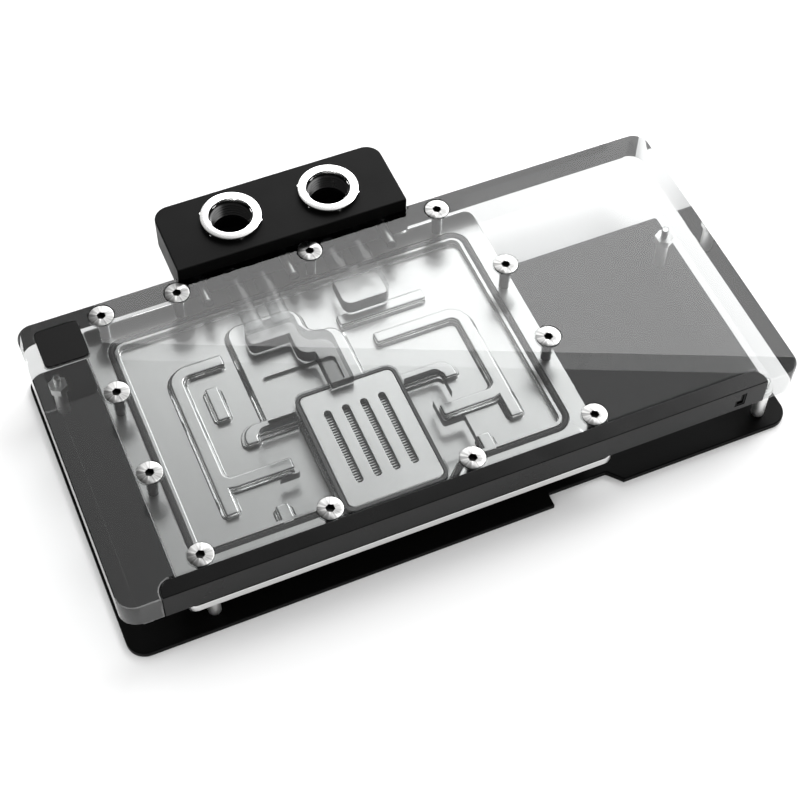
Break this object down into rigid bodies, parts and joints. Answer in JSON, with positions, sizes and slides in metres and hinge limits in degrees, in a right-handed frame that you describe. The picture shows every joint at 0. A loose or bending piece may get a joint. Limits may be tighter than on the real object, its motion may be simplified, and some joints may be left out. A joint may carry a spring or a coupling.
{
  "type": "gpu water block",
  "caption": "Full-cover graphics card water block: clear acrylic top, nickelled cold plate with milled channels, side terminal with two threaded ports, light bar and backplate.",
  "frame": {"origin": "on the ground under the middle of the whole block, at the backplate's underside", "axes": "+X along the light bar from the badge's end, +Y from the light bar towards the terminal block, +Z from the backplate up through the clear top"},
  "size_m": [0.204, 0.1258, 0.0307],
  "materials": {
    "clear_acrylic": "clear polished acrylic",
    "nickel": "bright nickel plating",
    "black_acetal": "satin black",
    "black_anodised": "satin black anodised",
    "seal_rubber": "matt black",
    "circuit_board": "white solder mask",
    "screw_steel": "turned bright steel"
  },
  "bodies": {
    "root": {"backplate": "black_anodised", "backplate_screw_1": "screw_steel", "backplate_screw_2": "screw_steel", "backplate_screw_3": "screw_steel", "backplate_screw_4": "screw_steel", "badge_plate": "black_anodised", "chamber_seal": "seal_rubber", "clear_top": "clear_acrylic", "cold_plate": "nickel", "inlet_port": "nickel", "inlet_seal": "seal_rubber", "jet_plate": "nickel", "jet_plate_gasket": "seal_rubber", "light_bar_cover": "black_acetal", "light_bar_socket": "black_acetal", "light_strip": "circuit_board", "outlet_port": "nickel", "outlet_seal": "seal_rubber", "standoff_1": "screw_steel", "standoff_2": "screw_steel", "standoff_3": "screw_steel", "standoff_4": "screw_steel", "terminal_block": "black_acetal", "terminal_screw_1": "screw_steel", "terminal_screw_2": "screw_steel", "terminal_screw_3": "screw_steel", "top_screw_01": "screw_steel", "top_screw_02": "screw_steel", "top_screw_03": "screw_steel", "top_screw_04": "screw_steel", "top_screw_05": "screw_steel", "top_screw_06": "screw_steel", "top_screw_07": "screw_steel", "top_screw_08": "screw_steel", "top_screw_09": "screw_steel", "top_screw_10": "screw_steel", "top_screw_11": "screw_steel", "top_screw_12": "screw_steel"}
  },
  "joints": []
}
